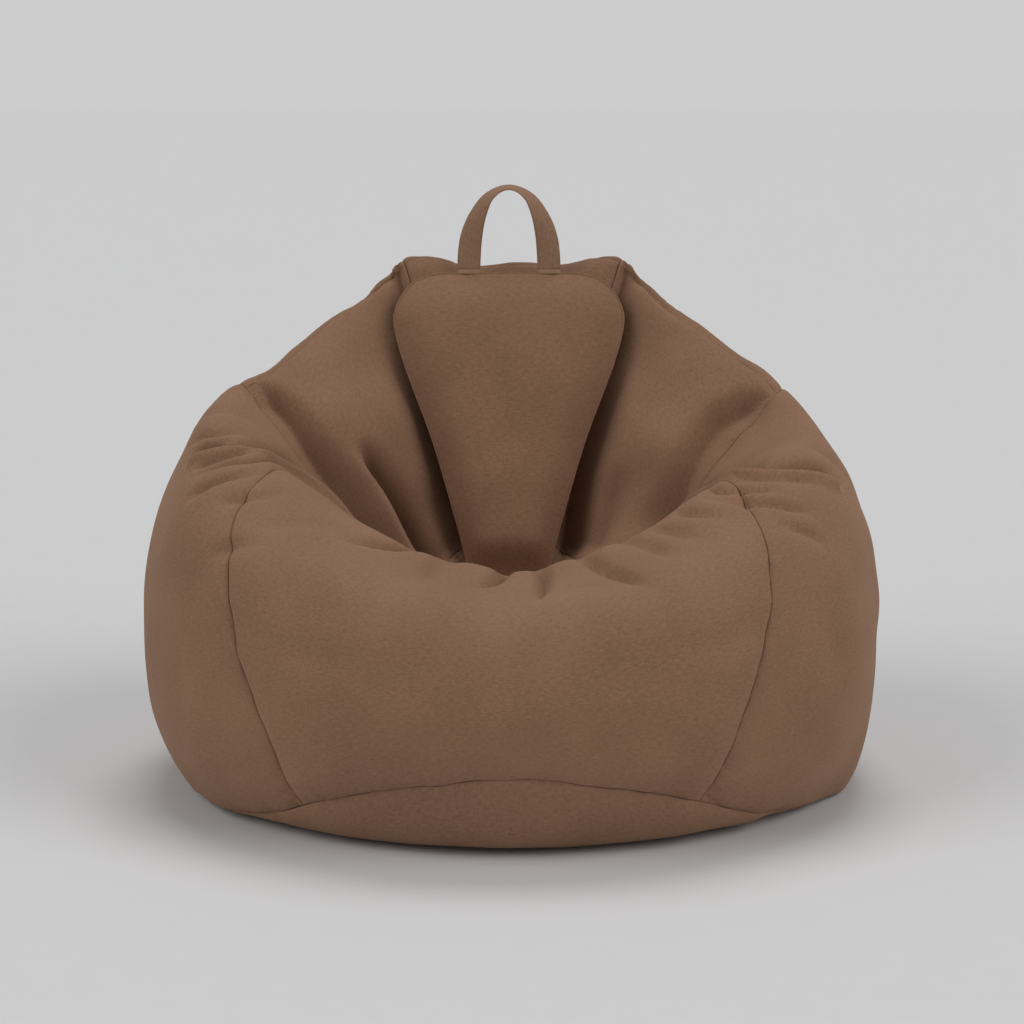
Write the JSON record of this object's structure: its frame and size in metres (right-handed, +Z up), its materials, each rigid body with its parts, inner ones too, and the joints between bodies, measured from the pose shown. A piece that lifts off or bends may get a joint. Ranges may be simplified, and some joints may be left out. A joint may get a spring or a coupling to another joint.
{
  "type": "bean bag chair",
  "caption": "Low round bean bag chair with a hollowed seat, arms, a raised back with a padded panel, a loop handle on top and a zip across the underside.",
  "frame": {"origin": "middle of the flat underside, where the bag rests on the floor", "axes": "+Z up; the seat opens to the front, -Y; +X is to the right of someone who looks at the seat from the front"},
  "size_m": [0.91, 0.8747, 0.7245],
  "materials": {
    "cover_fabric": "matte, linen-look plain weave",
    "pad_fabric": "matte, linen-look plain weave, drawn tight over foam",
    "handle_fabric": "matte, folded strap of the cover fabric, edge stitched",
    "lining_fabric": "matte, plain lining cloth",
    "label_fabric": "smooth woven tape, blank",
    "foam": "open-cell foam",
    "liner_fabric": "smooth, tightly woven",
    "beads": "loose foamed beads",
    "zip_tape": "woven tape",
    "zip_teeth": "moulded",
    "zip_metal": "satin enamel",
    "liner_zip_tape": "woven tape",
    "liner_zip_plastic": "moulded",
    "liner_zip_metal": "satin enamel"
  },
  "bodies": {
    "cover": {"front_panel": "cover_fabric", "left_side_panel": "cover_fabric", "right_side_panel": "cover_fabric", "left_wing_panel": "cover_fabric", "right_wing_panel": "cover_fabric", "left_back_panel": "cover_fabric", "right_back_panel": "cover_fabric", "back_wall_panel": "cover_fabric", "top_gusset": "cover_fabric", "seat_panel": "cover_fabric", "base_front_panel": "cover_fabric", "base_rear_panel": "cover_fabric", "care_label": "label_fabric", "pad_front": "pad_fabric", "pad_lining": "lining_fabric", "pad_foam": "foam", "front_zip_facing": "cover_fabric", "rear_zip_facing": "cover_fabric", "front_zip_tape": "zip_tape", "rear_zip_tape": "zip_tape", "front_zip_teeth": "zip_teeth", "rear_zip_teeth": "zip_teeth", "zip_top_stops": "zip_metal", "zip_bottom_stop": "zip_metal", "liner_body": "liner_fabric", "liner_base": "liner_fabric", "front_liner_zip_tape": "liner_zip_tape", "rear_liner_zip_tape": "liner_zip_tape", "front_liner_zip_teeth": "liner_zip_plastic", "rear_liner_zip_teeth": "liner_zip_plastic", "liner_zip_stops": "liner_zip_plastic", "bead_fill": "beads"},
    "carry_handle": {"carry_handle": "handle_fabric"},
    "zip_slider": {"zip_slider": "zip_metal"},
    "zip_pull": {"zip_pull": "zip_metal"},
    "liner_zip_slider": {"liner_zip_slider": "liner_zip_metal"}
  },
  "joints": [
    {"name": "handle_fold", "type": "hinge", "parent": "cover", "child": "carry_handle", "pos_m": [0, 0.207, 0.613], "axis": [1, 0, 0], "range_deg": [-50, 90]},
    {"name": "zip_slide", "type": "slide", "parent": "cover", "child": "zip_slider", "axis": [-1, 0, 0], "range_m": [0, 0.476]},
    {"name": "zip_pull_swing", "type": "hinge", "parent": "zip_slider", "child": "zip_pull", "pos_m": [0.238, 0, 0.0013], "axis": [0, -1, 0], "range_deg": [0, 180]},
    {"name": "liner_zip_slide", "type": "slide", "parent": "cover", "child": "liner_zip_slider", "axis": [-1, 0, 0], "range_m": [0, 0.276]}
  ]
}
